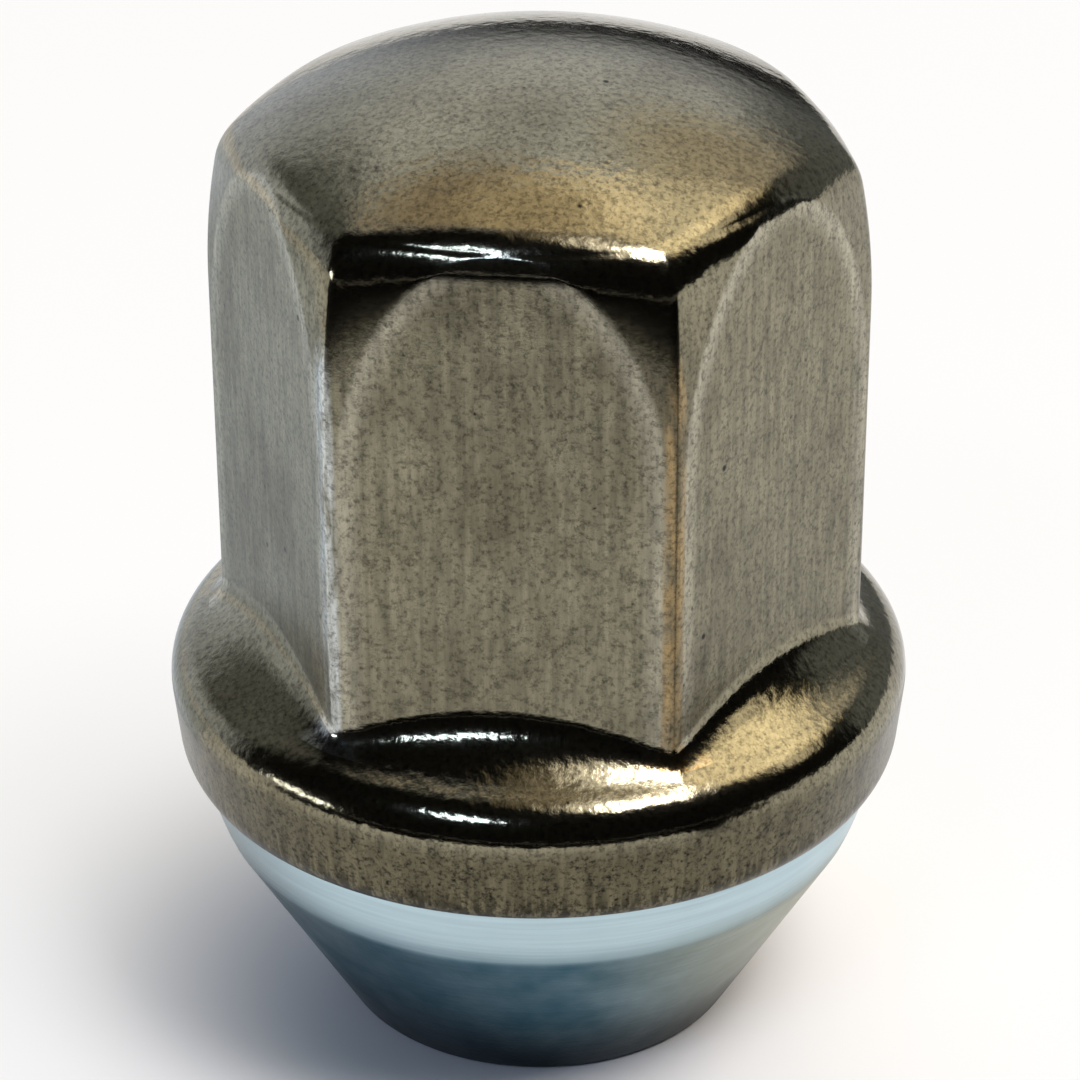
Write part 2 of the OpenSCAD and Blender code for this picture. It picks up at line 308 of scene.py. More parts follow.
class CapForm:
    """Rings of the cap at any depth below its outer face."""

    def __init__(self, s):
        self.s = s
        self.apothem = s.across_flats / 2
        self.corner_reach = (self.apothem - s.corner_round) / cos(HALF_SIDE) + s.corner_round
        self.side_half_width = (self.apothem - s.corner_round) * tan(HALF_SIDE)
        self.dome = (np.array([0.0, s.overall_height - s.dome_radius]), s.dome_radius)
        inset = self.apothem - s.flat_shoulder
        rise = sqrt((s.dome_radius - s.flat_shoulder) ** 2 - inset ** 2)
        self.flat_centre = self.dome[0] + [inset, rise]
        self.flat_arcs = [(self.flat_centre, s.flat_shoulder), self.dome]
        bow = (np.array([self.corner_reach - s.corner_bow, s.bow_level]), s.corner_bow)
        shoulder_centre = inside_both(bow, self.dome, s.corner_shoulder)
        self.corner_arcs = [bow, (shoulder_centre, s.corner_shoulder), self.dome]
        self.foot_reach = self.apothem - s.sheet - s.foot_share * (s.flange_diameter / 2 - self.apothem)
        self.rim_centre = np.array([s.flange_diameter / 2 - s.rim_round, s.flange_level])
        lean = np.array([cos(s.skirt_lean), -sin(s.skirt_lean)])
        skirt_top = self.rim_centre + s.rim_round * lean
        drop = s.roll_radius * (sin(s.roll_lean) - sin(s.skirt_lean))
        skirt = (skirt_top[1] - drop - s.skirt_level) / cos(s.skirt_lean)
        skirt_end = skirt_top - skirt * np.array([sin(s.skirt_lean), cos(s.skirt_lean)])
        self.roll_centre = skirt_end - s.roll_radius * lean

    def crown_levels(self, depth, steps):
        """Heights of the crown's rings, from beside the apex down to the plain hexagon."""
        dome_steps, shoulder_steps, arch_steps = steps
        centre, radius = self.dome
        touch = atan2(self.flat_centre[1] - centre[1], self.flat_centre[0])
        dome = np.linspace(pi / 2, touch, dome_steps + 1)[1:-1]
        shoulder = np.linspace(touch, 0.0, shoulder_steps + 1)
        arch = np.linspace(0.0, 1.0, arch_steps + 1)[1:] ** CROWDING
        plain_level = min(self.s.arch_level, self.s.bow_level)
        return np.concatenate([
            centre[1] + (radius - depth) * np.sin(dome),
            self.flat_centre[1] + (self.s.flat_shoulder - depth) * np.sin(shoulder),
            self.flat_centre[1] + (plain_level - self.flat_centre[1]) * arch,
        ])

    def hexagon_ring(self, z, depth, flange=None):
        """A ring at height z: hexagon with arched flats, or the flange where that reaches further out."""
        s = self.s
        flat_end, touch = self.flat_centre[1], touch_level(*self.flat_arcs, depth)
        share = min(max((z - s.arch_level) / (flat_end + s.arch_rise - s.arch_level), 0.0), 1.0)
        plain = self.side_half_width * sqrt(1 - share ** 2)
        fall = min(max((touch - z) / (touch - flat_end), 0.0), 1.0)
        # The crease comes in over the first half of the arch and goes out over the shoulder
        roundness = 1 - s.arch_crease * min(2 * share, 1.0) * fall ** 2 * (3 - 2 * fall)
        flat = section_reach(self.flat_arcs, z, depth)
        corner = section_reach(self.corner_arcs, z, depth)
        edge = HALF_SIDE - atan2(max(plain, LEAST_SPREAD * flat), flat)
        off = np.concatenate([
            edge * np.linspace(0.0, 1.0, CORNER_STEPS, endpoint=False) ** CROWDING,
            np.linspace(edge, HALF_SIDE, FLAT_STEPS + 1)])
        reach = hexagon(off, flat, plain, corner, roundness, s.corner_round / 3)
        if flange is not None:
            reach = soft_max(reach, flange, s.foot_share * (s.flange_diameter / 2 - depth - reach))
        side = np.concatenate([-off[:0:-1], off[:-1]])
        turn = np.concatenate([side + 2 * HALF_SIDE * i for i in range(6)])
        return ring(turn, np.tile(np.concatenate([reach[:0:-1], reach[:-1]]), 6), z)

    def edge_distance(self, points):
        """How far points lie inside the edge of their flat, along its arch and its corners.

        Below the flats there is no edge, and the distance is a large one.
        """
        s = self.s
        x, y, z = points.T
        off_middle = (np.arctan2(y, x) % (2 * HALF_SIDE)) - HALF_SIDE
        across = np.hypot(x, y) * np.abs(np.sin(off_middle)) / self.side_half_width
        height = self.flat_centre[1] + s.arch_rise - s.arch_level
        up = np.maximum(z - s.arch_level, 0.0) / height
        level = np.hypot(across, up)
        slope = np.hypot(across / self.side_half_width, up / height) / np.maximum(level, LEAST_LEVEL)
        distance = (1 - level) / np.maximum(slope, LEAST_SLOPE)
        return np.where(z > s.flange_level + s.rim_round, distance, s.across_flats)

    def flange_section(self, depth, inner, steps, end):
        """Section of the flange and skirt from a radius inside the flats down to the roll's end."""
        s = self.s
        foot_steps, rim_steps, skirt_steps, roll_steps = steps
        rim = arc(self.rim_centre, s.rim_round - depth, pi / 2 - s.flange_slope, -s.skirt_lean, rim_steps)
        foot_top = [inner, rim[0][1] + (rim[0][0] - inner) * tan(s.flange_slope)]
        roll = arc(self.roll_centre, s.roll_radius - depth, -s.skirt_lean, -end, roll_steps)
        return np.concatenate([
            line(foot_top, rim[0], foot_steps)[:-1], rim, line(rim[-1], roll[0], skirt_steps)[1:-1], roll])

    def face(self, depth, steps, end):
        """All rings of one face of the sheet, from the crown down."""
        crown_steps, wall_steps, flange_steps = steps
        levels = self.crown_levels(depth, crown_steps)
        section = self.flange_section(depth, self.foot_reach, flange_steps, end)
        wall = np.linspace(levels[-1], section[0][1], wall_steps + 1)[1:-1]
        rings = [self.hexagon_ring(z, depth) for z in np.concatenate([levels, wall])]
        return rings + [self.hexagon_ring(z, depth, reach) for reach, z in section]


def ring(turn, reach, z):
    """One ring of points round the axis."""
    return np.stack([reach * np.cos(turn), reach * np.sin(turn), np.broadcast_to(z, turn.shape)], axis=1)


def wall_quads(count, rings, closed=False):
    """Quads between rings of the same count, the last ring back to the first where it is closed."""
    k = np.arange(rings if closed else rings - 1)[:, None]
    i = np.arange(count)[None, :]
    following = (k + 1) % rings
    beside = (i + 1) % count
    return np.stack(
        [k * count + i, k * count + beside, following * count + beside, following * count + i],
        axis=2).reshape(-1, 4).tolist()


def add_piece(name, points, faces, material, node_name):
    """A smooth mesh that stands for a CAD node and rides on the part's one body."""
    mesh = bpy.data.meshes.new(name)
    mesh.from_pydata([tuple(p) for p in points], [], faces)
    if mesh.validate():
        raise RuntimeError(f"{name}: the mesh had faulty faces")
    mesh.polygons.foreach_set("use_smooth", [True] * len(mesh.polygons))
    mesh.materials.append(material)
    piece = bpy.data.objects.new(name, mesh)
    bpy.context.scene.collection.objects.link(piece)
    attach(piece, "root")
    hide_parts(node_name)
    return piece


def cap_mesh(s):
    """Points and faces of the closed sheet: down the inner face, round the cut edge, up the outer face."""
    form = CapForm(s)
    middle = s.roll_radius - s.sheet / 2
    end = s.roll_lean - s.edge_round / middle
    outer = form.face(0.0, OUTER_STEPS, end)
    inner = form.face(s.sheet, INNER_STEPS, end)
    out = np.array([cos(end), -sin(end)])
    along = np.array([-sin(end), -cos(end)])
    edge = [
        form.roll_centre + out * (middle + cos(a) * s.sheet / 2) + along * sin(a) * s.edge_round
        for a in np.linspace(pi, 0.0, CUT_EDGE_STEPS + 1)[1:-1]]
    turn = np.arctan2(outer[-1][:, 1], outer[-1][:, 0])
    rings = inner + [ring(turn, np.full_like(turn, r), z) for r, z in edge] + outer[::-1]
    count, last = len(turn), (len(rings) - 1) * len(turn)
    points = np.concatenate(rings + [[[0, 0, s.overall_height - s.sheet], [0, 0, s.overall_height]]])
    inner_apex, outer_apex = len(points) - 2, len(points) - 1
    faces = [face[::-1] for face in wall_quads(count, len(rings))]
    faces += [[i, (i + 1) % count, inner_apex] for i in range(count)]
    faces += [[last + (i + 1) % count, last + i, outer_apex] for i in range(count)]
    return points, [face[::-1] for face in faces]


def nut_mesh(cap, s):
    """Points and faces of the nut: out over the small end, up the seat, collar and core, down the thread."""
    form = CapForm(cap)
    turn = np.linspace(0.0, 2 * pi, ROUND_STEPS, endpoint=False)
    depth = cap.sheet + s.cap_gap
    half_angle = s.seat_angle / 2
    end_radius = s.seat_end_diameter / 2
    apothem = form.apothem - depth
    core_top = cap.overall_height - cap.sheet - s.stud_space
    core_reach = section_reach(form.corner_arcs, core_top, depth) - s.corner_relief
    core = np.minimum(apothem / np.cos((turn % (2 * HALF_SIDE)) - HALF_SIDE), core_reach)
    mouth = s.thread_diameter / 2 + s.lead_in

    set_back = s.seat_edge_round * tan(pi / 4 - half_angle / 2)
    edge_centre = [end_radius - set_back, s.seat_edge_round]
    edge = arc(edge_centre, s.seat_edge_round, -pi / 2, -half_angle, EDGE_STEPS)
    cone_end = np.array([end_radius + s.seat_height * tan(half_angle), s.seat_height])
    collar = form.flange_section(depth, form.foot_reach, COLLAR_STEPS, cap.roll_lean)[::-1]
    chord = collar[0] - cone_end
    radius = np.hypot(*chord) / 2 / sin(s.band_bend)
    heading = atan2(chord[1], chord[0])
    start = heading - s.band_bend - pi / 2
    band_centre = cone_end - radius * np.array([cos(start), sin(start)])
    band = arc(band_centre, radius, start, start + 2 * s.band_bend, BAND_STEPS)
    turned = np.concatenate([
        line([mouth, 0.0], edge[0], END_STEPS)[:-1], edge,
        line(edge[-1], cone_end, CONE_STEPS)[1:-1], band, collar[1:]])
    rings = [ring(turn, np.full_like(turn, r), z) for r, z in turned if r > apothem or z < cap.flange_level]

    rim_end = collar[-1]
    foot = rim_end[1] - (core - rim_end[0]) * tan(cap.flange_slope)
    chamfer = core_top - (core - apothem) * tan(s.core_chamfer_slope)
    shares = np.linspace(0.0, 1.0, CORE_STEPS + 1)
    rings += [ring(turn, core, foot + (chamfer - foot) * share) for share in shares]
    rings += [
        ring(turn, np.full_like(turn, r), core_top) for r in np.linspace(apothem, mouth, TOP_STEPS + 1)]

    pitch = s.thread_pitch
    thread_depth = THREAD_DEPTH_SHARE * cos(THREAD_FLANK) * pitch
    for z in np.linspace(core_top, 0.0, round(core_top / pitch * STEPS_PER_PITCH) + 1)[1:-1]:
        off_root = np.abs((z / pitch - turn / (2 * pi)) % 1.0 - 0.5) * pitch
        inward = (off_root - THREAD_ROOT_SHARE * pitch / 2) / tan(THREAD_FLANK)
        reach = s.thread_diameter / 2 - np.clip(inward, 0.0, thread_depth)
        rings.append(ring(turn, np.maximum(reach, mouth - min(z, core_top - z)), z))
    return np.concatenate(rings), wall_quads(len(turn), len(rings), closed=True)


def node(tree, kind, inputs=None, **settings):
    """Adds a node, with its settings, and sets or links its inputs."""
    made = tree.nodes.new(kind)
    for name, value in settings.items():
        setattr(made, name, value)
    for key, value in (inputs or {}).items():
        if isinstance(value, bpy.types.NodeSocket):
            tree.links.new(value, made.inputs[key])
        else:
            made.inputs[key].default_value = value
    return made


def new_material(name):
    """An empty node material and its output."""
    material = bpy.data.materials.new(name)
    material.use_nodes = True
    tree = material.node_tree
    tree.nodes.clear()
    return material, tree, tree.nodes.new("ShaderNodeOutputMaterial")


def drawn_stainless(finish, cap):
    """Drawn stainless sheet: satin grey metal, upright draw lines, dark pores and painted highlights at the
    edges.

    The sheet is ironed bright where it is bent, at the shoulder and the flange, and duller on the flats.
    """
    material, tree, output = new_material("drawn stainless sheet")
    coordinates = node(tree, "ShaderNodeTexCoord")
    mm = node(tree, "ShaderNodeVectorMath", {
        0: coordinates.outputs["Object"], "Scale": 1 / MM}, operation="SCALE").outputs[0]
    height = node(tree, "ShaderNodeSeparateXYZ", {0: mm}).outputs["Z"]
    facing = node(tree, "ShaderNodeSeparateXYZ", {0: coordinates.outputs["Normal"]}).outputs["Z"]
    edge = node(tree, "ShaderNodeAttribute", attribute_name="edge_distance").outputs["Fac"]

    # Flats and skirt are upright and duller, the bent parts between are bright
    upright = node(tree, "ShaderNodeMapRange", {
        "Value": facing, "From Min": 0.2, "From Max": 0.02},
        interpolation_type="SMOOTHSTEP").outputs["Result"]

    # Patches about 6 mm wide where handling has dulled the sheet
    cloud = node(tree, "ShaderNodeTexNoise", {
        "Vector": mm, "Scale": 1 / 6, "Detail": 3.0, "Roughness": 0.6}).outputs["Fac"]
    dull = node(tree, "ShaderNodeMapRange", {
        "Value": cloud, "From Min": 0.42, "From Max": 0.72}).outputs["Result"]

    # Draw lines about 0.2 mm wide and 8 mm long, and scuffs of 0.5 mm by 2 mm, up and down the sides
    lines = node(tree, "ShaderNodeVectorMath", {
        0: mm, 1: (1 / 0.2, 1 / 0.2, 1 / 8)}, operation="MULTIPLY").outputs[0]
    streak = node(tree, "ShaderNodeTexNoise", {
        "Vector": lines, "Scale": 1.0, "Detail": 2.0}).outputs["Fac"]
    marks = node(tree, "ShaderNodeVectorMath", {
        0: mm, 1: (1 / 0.5, 1 / 0.5, 1 / 2)}, operation="MULTIPLY").outputs[0]
    scuff = node(tree, "ShaderNodeTexNoise", {
        "Vector": marks, "Scale": 1.0, "Detail": 3.0, "Roughness": 0.65}).outputs["Fac"]

    # Grain of about 0.2 mm, pores of 0.1 mm scattered 0.4 mm apart, and a few pits of 0.2 mm
    grain = node(tree, "ShaderNodeTexNoise", {
        "Vector": mm, "Scale": 1 / 0.2, "Detail": 2.0, "Roughness": 0.75}).outputs["Fac"]
    mottle = node(tree, "ShaderNodeMapRange", {
        "Value": grain, "From Min": 0.46, "From Max": 0.72}).outputs["Result"]
    cells = node(tree, "ShaderNodeTexVoronoi", {"Vector": mm, "Scale": 1 / 0.4})
    pores = node(tree, "ShaderNodeMapRange", {
        "Value": cells.outputs["Distance"], "From Min": 0.26, "From Max": 0.1}).outputs["Result"]
    pit_distance = node(tree, "ShaderNodeTexVoronoi", {
        "Vector": mm, "Scale": 1 / 2.6}).outputs["Distance"]
    pits = node(tree, "ShaderNodeMapRange", {
        "Value": pit_distance, "From Min": 0.06, "From Max": 0.03}).outputs["Result"]

    # Painted highlight: the edges of the flats are lighter over about 1 mm, a light rim round each arch
    rim_in = node(tree, "ShaderNodeMapRange", {
        "Value": edge, "From Min": 1.1, "From Max": 0.1},
        interpolation_type="SMOOTHSTEP").outputs["Result"]
    rim_out = node(tree, "ShaderNodeMapRange", {
        "Value": edge, "From Min": -0.2, "From Max": 0.1},
        interpolation_type="SMOOTHSTEP").outputs["Result"]
    highlit = node(tree, "ShaderNodeMath", {0: rim_in, 1: rim_out}, operation="MULTIPLY").outputs[0]

    # Painted shade darkens the flats towards their foot and, with dirt, the skirt. Tool marks run up the
    # skirt's last millimetre
    painted_flat_shade = node(tree, "ShaderNodeMapRange", {
        "Value": height, "From Min": FLAT_BRIGHT, "From Max": FLAT_DARK,
        "To Min": 1.1, "To Max": 0.82}).outputs["Result"]
    widest, lowest = cap.flange_level / MM, cap.skirt_level / MM
    skirt = node(tree, "ShaderNodeMapRange", {
        "Value": height, "From Min": widest + SKIRT_SHADE_FADE, "From Max": widest - SKIRT_SHADE_FADE},
        interpolation_type="SMOOTHSTEP").outputs["Result"]
    rolled = node(tree, "ShaderNodeMapRange", {
        "Value": height, "From Min": lowest + TOOL_MARKS_START, "From Max": lowest + TOOL_MARKS_FULL},
        interpolation_type="SMOOTHSTEP").outputs["Result"]

    # The sheet's own colour, its skirt darker with painted shade and dirt, and painted highlights along its
    # edges
    tone = node(tree, "ShaderNodeMix", {
        MIX_FACTOR: dull, MIX_A: tuple(finish.steel), MIX_B: tuple(finish.steel_dark)},
        data_type="RGBA").outputs[MIX_RESULT]
    dirt_and_shade = node(tree, "ShaderNodeMix", {
        MIX_FACTOR: skirt, MIX_A: tone, MIX_B: tuple(finish.steel_dirt_and_shade)},
        data_type="RGBA").outputs[MIX_RESULT]
    highlighted = node(tree, "ShaderNodeMix", {
        MIX_FACTOR: highlit, MIX_A: dirt_and_shade, MIX_B: tuple(finish.steel_highlit)},
        data_type="RGBA").outputs[MIX_RESULT]

    # One corner has browned over about 1 mm, and the next one has a painted highlight, a bright line, both in
    # patches
    patchy = node(tree, "ShaderNodeMapRange", {
        "Value": scuff, "From Min": 0.66, "From Max": 0.4, "To Min": 0.2}).outputs["Result"]
    patchy_rim = node(tree, "ShaderNodeMath", {0: rim_in, 1: patchy}, operation="MULTIPLY").outputs[0]
    corner_marks = (BROWNED_CORNER, finish.steel_tint), (HIGHLIGHT_CORNER, finish.steel_corner_highlight)
    for (turn, start, full), tint in corner_marks:
        along = node(tree, "ShaderNodeVectorMath", {
            0: mm, 1: toward(radians(turn), 0)}, operation="DOT_PRODUCT").outputs["Value"]
        corner = node(tree, "ShaderNodeMapRange", {
            "Value": along, "From Min": start, "From Max": full},
            interpolation_type="SMOOTHSTEP").outputs["Result"]
        mark = node(tree, "ShaderNodeMath", {0: corner, 1: patchy_rim}, operation="MULTIPLY").outputs[0]
        highlighted = node(tree, "ShaderNodeMix", {
            MIX_FACTOR: mark, MIX_A: highlighted, MIX_B: tuple(tint)}, data_type="RGBA").outputs[MIX_RESULT]

    # Draw lines all over, scuffs and painted shade on the upright parts, tool marks on the roll
    lined = node(tree, "ShaderNodeMapRange", {
        "Value": streak, "From Min": 0.35, "From Max": 0.7,
        "To Min": 1.12, "To Max": 0.85}).outputs["Result"]
    drawn = node(tree, "ShaderNodeMix", {
        MIX_FACTOR: 1.0, MIX_A: highlighted, MIX_B: lined},
        data_type="RGBA", blend_type="MULTIPLY").outputs[MIX_RESULT]
    scuffed = node(tree, "ShaderNodeMapRange", {
        "Value": scuff, "From Min": 0.4, "From Max": 0.75,
        "To Min": 1.06, "To Max": 0.62}).outputs["Result"]
    scuffs_and_shade = node(tree, "ShaderNodeMath", {0: scuffed, 1: painted_flat_shade}, operation="MULTIPLY").outputs[0]
    worn_and_shaded = node(tree, "ShaderNodeMix", {
        MIX_FACTOR: upright, MIX_A: drawn, MIX_B: scuffs_and_shade},
        data_type="RGBA", blend_type="MULTIPLY").outputs[MIX_RESULT]
    ticks = node(tree, "ShaderNodeMapRange", {
        "Value": streak, "From Min": 0.42, "From Max": 0.56,
        "To Min": 1.1, "To Max": 0.35}).outputs["Result"]
    skirted = node(tree, "ShaderNodeMix", {
        MIX_FACTOR: rolled, MIX_A: worn_and_shaded, MIX_B: ticks},
        data_type="RGBA", blend_type="MULTIPLY").outputs[MIX_RESULT]

    # Dirt lies in the pores, the pits and the grain, most of all on the skirt
    grimed = node(tree, "ShaderNodeMapRange", {
        "Value": skirt, "To Min": 0.65, "To Max": 1.0}).outputs["Result"]
    mottle_share = node(tree, "ShaderNodeMath", {0: mottle, 1: grimed}, operation="MULTIPLY").outputs[0]
    pore_share = node(tree, "ShaderNodeMath", {0: pores, 1: mottle}, operation="MULTIPLY").outputs[0]
    dots = node(tree, "ShaderNodeMath", {0: pore_share, 1: pits}, operation="MAXIMUM").outputs[0]
    dots = node(tree, "ShaderNodeMath", {0: dots, 1: mottle_share}, operation="MAXIMUM").outputs[0]
    surface = node(tree, "ShaderNodeMix", {
        MIX_FACTOR: dots, MIX_A: skirted, MIX_B: tuple(finish.pore)}, data_type="RGBA").outputs[MIX_RESULT]

    # Satin on the upright parts, glossy where the sheet is bent, and a little rougher where it is dulled
    satin = node(tree, "ShaderNodeMapRange", {
        "Value": upright, "To Min": 0.1, "To Max": 0.26}).outputs["Result"]
    roughness = node(tree, "ShaderNodeMath", {
        0: dull, 1: 0.06, 2: satin}, operation="MULTIPLY_ADD").outputs[0]

    # Bending leaves a faint peel of 0.5 mm on the bright parts
    peel = node(tree, "ShaderNodeTexNoise", {"Vector": mm, "Scale": 1 / 0.5, "Detail": 1.0}).outputs["Fac"]
    peel_share = node(tree, "ShaderNodeMapRange", {
        "Value": upright, "To Min": 3.0, "To Max": 0.5}).outputs["Result"]
    fine = node(tree, "ShaderNodeMath", {0: streak, 1: 0.5, 2: grain}, operation="MULTIPLY_ADD").outputs[0]
    relief = node(tree, "ShaderNodeMath", {
        0: peel, 1: peel_share, 2: fine}, operation="MULTIPLY_ADD").outputs[0]
    bump = node(tree, "ShaderNodeBump", {
        "Height": relief, "Strength": 0.12, "Distance": 0.05 * MM}).outputs["Normal"]
    base = node(tree, "ShaderNodeBsdfPrincipled", {
        "Base Color": surface, "Metallic": 1.0, "Roughness": roughness, "Normal": bump})
    tree.links.new(base.outputs["BSDF"], output.inputs["Surface"])
    return material


def zinc_plate(finish):
    """Zinc plate with a blue passivation: pale metal, dark teal on the cone with painted shade, a painted
    gold reflection on one side.
    """
    material, tree, output = new_material("blue-passivated zinc plate")
    coordinates = node(tree, "ShaderNodeTexCoord")
    mm = node(tree, "ShaderNodeVectorMath", {
        0: coordinates.outputs["Object"], "Scale": 1 / MM}, operation="SCALE").outputs[0]
    place = node(tree, "ShaderNodeSeparateXYZ", {0: mm})
    facing = node(tree, "ShaderNodeSeparateXYZ", {0: coordinates.outputs["Normal"]}).outputs["Z"]

    # Cloudy film, patches about 4 mm wide
    cloud = node(tree, "ShaderNodeTexNoise", {
        "Vector": mm, "Scale": 1 / 4, "Detail": 3.0, "Roughness": 0.6}).outputs["Fac"]
    # Turning marks run round the seat, about 0.15 mm apart, over a grain of 0.2 mm
    turned = node(tree, "ShaderNodeVectorMath", {
        0: mm, 1: (1 / 6, 1 / 6, 1 / 0.15)}, operation="MULTIPLY").outputs[0]
    marks = node(tree, "ShaderNodeTexNoise", {"Vector": turned, "Scale": 1.0, "Detail": 2.0}).outputs["Fac"]
    grain = node(tree, "ShaderNodeTexNoise", {"Vector": mm, "Scale": 1 / 0.2, "Detail": 1.0}).outputs["Fac"]

    # Painted shade and a thicker film: the cone, which faces down, is dark teal, and the band above it is
    # pale
    under = node(tree, "ShaderNodeMapRange", {
        "Value": facing, "From Min": -0.25, "From Max": -0.48},
        interpolation_type="SMOOTHSTEP").outputs["Result"]
    film = node(tree, "ShaderNodeMapRange", {
        "Value": cloud, "From Min": 0.35, "From Max": 0.65, "To Min": 0.8, "To Max": 1.0}).outputs["Result"]
    deep = node(tree, "ShaderNodeMath", {0: under, 1: film}, operation="MULTIPLY").outputs[0]
    tone = node(tree, "ShaderNodeMix", {
        MIX_FACTOR: deep, MIX_A: tuple(finish.zinc), MIX_B: tuple(finish.zinc_teal_shade)},
        data_type="RGBA").outputs[MIX_RESULT]
    # Painted reflection: the right of the cone is greenish gold, for the warm light it reflects there
    side = node(tree, "ShaderNodeMapRange", {
        "Value": place.outputs["X"], "From Min": 2.0, "From Max": 10.0},
        interpolation_type="SMOOTHSTEP").outputs["Result"]
    gold = node(tree, "ShaderNodeMath", {0: side, 1: deep}, operation="MULTIPLY").outputs[0]
    tinted = node(tree, "ShaderNodeMix", {
        MIX_FACTOR: gold, MIX_A: tone, MIX_B: tuple(finish.zinc_warm_reflection)},
        data_type="RGBA").outputs[MIX_RESULT]
    lined = node(tree, "ShaderNodeMapRange", {
        "Value": marks, "From Min": 0.3, "From Max": 0.7, "To Min": 0.93, "To Max": 1.07}).outputs["Result"]
    # Painted shade: darker towards the small end and on the left
    foot = node(tree, "ShaderNodeMapRange", {
        "Value": place.outputs["Z"], "From Min": 0.4, "From Max": 5.0, "To Min": 0.2, "To Max": 1.0},
        interpolation_type="SMOOTHSTEP").outputs["Result"]
    left = node(tree, "ShaderNodeMapRange", {
        "Value": place.outputs["X"], "From Min": -12.0, "From Max": -5.0, "To Min": 0.5, "To Max": 1.0},
        interpolation_type="SMOOTHSTEP").outputs["Result"]
    shade = node(tree, "ShaderNodeMath", {0: lined, 1: foot}, operation="MULTIPLY").outputs[0]
    shade = node(tree, "ShaderNodeMath", {0: shade, 1: left}, operation="MULTIPLY").outputs[0]
    surface = node(tree, "ShaderNodeMix", {
        MIX_FACTOR: 1.0, MIX_A: tinted, MIX_B: shade},
        data_type="RGBA", blend_type="MULTIPLY").outputs[MIX_RESULT]

    # Satin, and rougher where the film is thicker
    roughness = node(tree, "ShaderNodeMapRange", {
        "Value": cloud, "From Min": 0.3, "From Max": 0.7, "To Min": 0.28, "To Max": 0.42}).outputs["Result"]
    relief = node(tree, "ShaderNodeMath", {0: marks, 1: 0.6, 2: grain}, operation="MULTIPLY_ADD").outputs[0]
    bump = node(tree, "ShaderNodeBump", {
        "Height": relief, "Strength": 0.15, "Distance": 0.05 * MM}).outputs["Normal"]
    base = node(tree, "ShaderNodeBsdfPrincipled", {
        "Base Color": surface, "Metallic": 1.0, "Roughness": roughness, "Normal": bump})
    tree.links.new(base.outputs["BSDF"], output.inputs["Surface"])
    return material


def matt_floor(settings):
    """Matt white paper, lit through from below: the eye and the metal see it bright, with a painted soft
    shadow round the nut.
    """
    material, tree, output = new_material("matt paper, lit through")
    paper = node(tree, "ShaderNodeBsdfPrincipled", {
        "Base Color": tuple(settings.floor), "Roughness": 0.9, "Specular IOR Level": 0.1})
    glow = node(tree, "ShaderNodeEmission", {"Color": tuple(settings.glow)})
    path = node(tree, "ShaderNodeLightPath").outputs
    seen = node(tree, "ShaderNodeMath", {
        0: path["Is Camera Ray"], 1: path["Is Glossy Ray"]}, operation="MAXIMUM").outputs[0]
    seen = node(tree, "ShaderNodeMath", {
        0: seen, 1: path["Is Transmission Ray"]}, operation="MAXIMUM").outputs[0]
    # Painted shadow: the glow fades out near the nut, as if the nut blocked the light right under it
    spot = node(tree, "ShaderNodeVectorMath", {
        0: node(tree, "ShaderNodeTexCoord").outputs["Object"]}, operation="LENGTH").outputs["Value"]
    open_share = node(tree, "ShaderNodeMapRange", {
        "Value": spot, "From Min": SHADED_RADIUS, "From Max": LIT_RADIUS, "To Max": settings.glow_share},
        interpolation_type="SMOOTHSTEP").outputs["Result"]
    share = node(tree, "ShaderNodeMath", {0: seen, 1: open_share}, operation="MULTIPLY").outputs[0]
    lit = node(tree, "ShaderNodeMixShader", {
        0: share, 1: paper.outputs["BSDF"], 2: glow.outputs["Emission"]})
    tree.links.new(lit.outputs["Shader"], output.inputs["Surface"])
    return material


def dark_cloth(settings):
    """Black cotton cloth: no gloss, and hardly any light comes back."""
    material, tree, output = new_material("black cotton cloth")
    base = node(tree, "ShaderNodeBsdfPrincipled", {
        "Base Color": tuple(settings.cloth), "Roughness": 1.0, "Specular IOR Level": 0.0})
    tree.links.new(base.outputs["BSDF"], output.inputs["Surface"])
    return material


def cool_card(settings):
    """Pale blue-grey card, lit through like the floor: an even cool brightness."""
    material, tree, output = new_material("blue-grey card")
    glow = node(tree, "ShaderNodeEmission", {"Color": tuple(settings.card)})
    tree.links.new(glow.outputs["Emission"], output.inputs["Surface"])
    return material


def toward(turn, rise):
    """Unit vector to a place round the nut: turn from the front to the right, rise above level."""
    return Vector((sin(turn) * cos(rise), -cos(turn) * cos(rise), sin(rise)))


def add_lamp(name, start, end, width, tint, radiance):
    """A soft strip lamp between two directions from the nut, each (turn, rise), all angles in degrees."""
    ends = [toward(radians(turn), radians(rise)) * LAMP_DISTANCE for turn, rise in (start, end)]
    centre = (ends[0] + ends[1]) / 2
    out = centre.normalized()
    along = (ends[1] - ends[0]).normalized()
    light = bpy.data.lights.new(name, "AREA")
    light.shape = "RECTANGLE"
    light.size = (ends[1] - ends[0]).length
    light.size_y = 2 * LAMP_DISTANCE * tan(radians(width) / 2)
    light.color = linear(tint)[:3]
    light.energy = radiance * pi * light.size * light.size_y
    lamp = bpy.data.objects.new(name, light)
    bpy.context.scene.collection.objects.link(lamp)
    lamp.matrix_world = Matrix((along, out.cross(along), out)).transposed().to_4x4()
    lamp.location = centre + Vector((0, 0, AIM_HEIGHT))
    return lamp


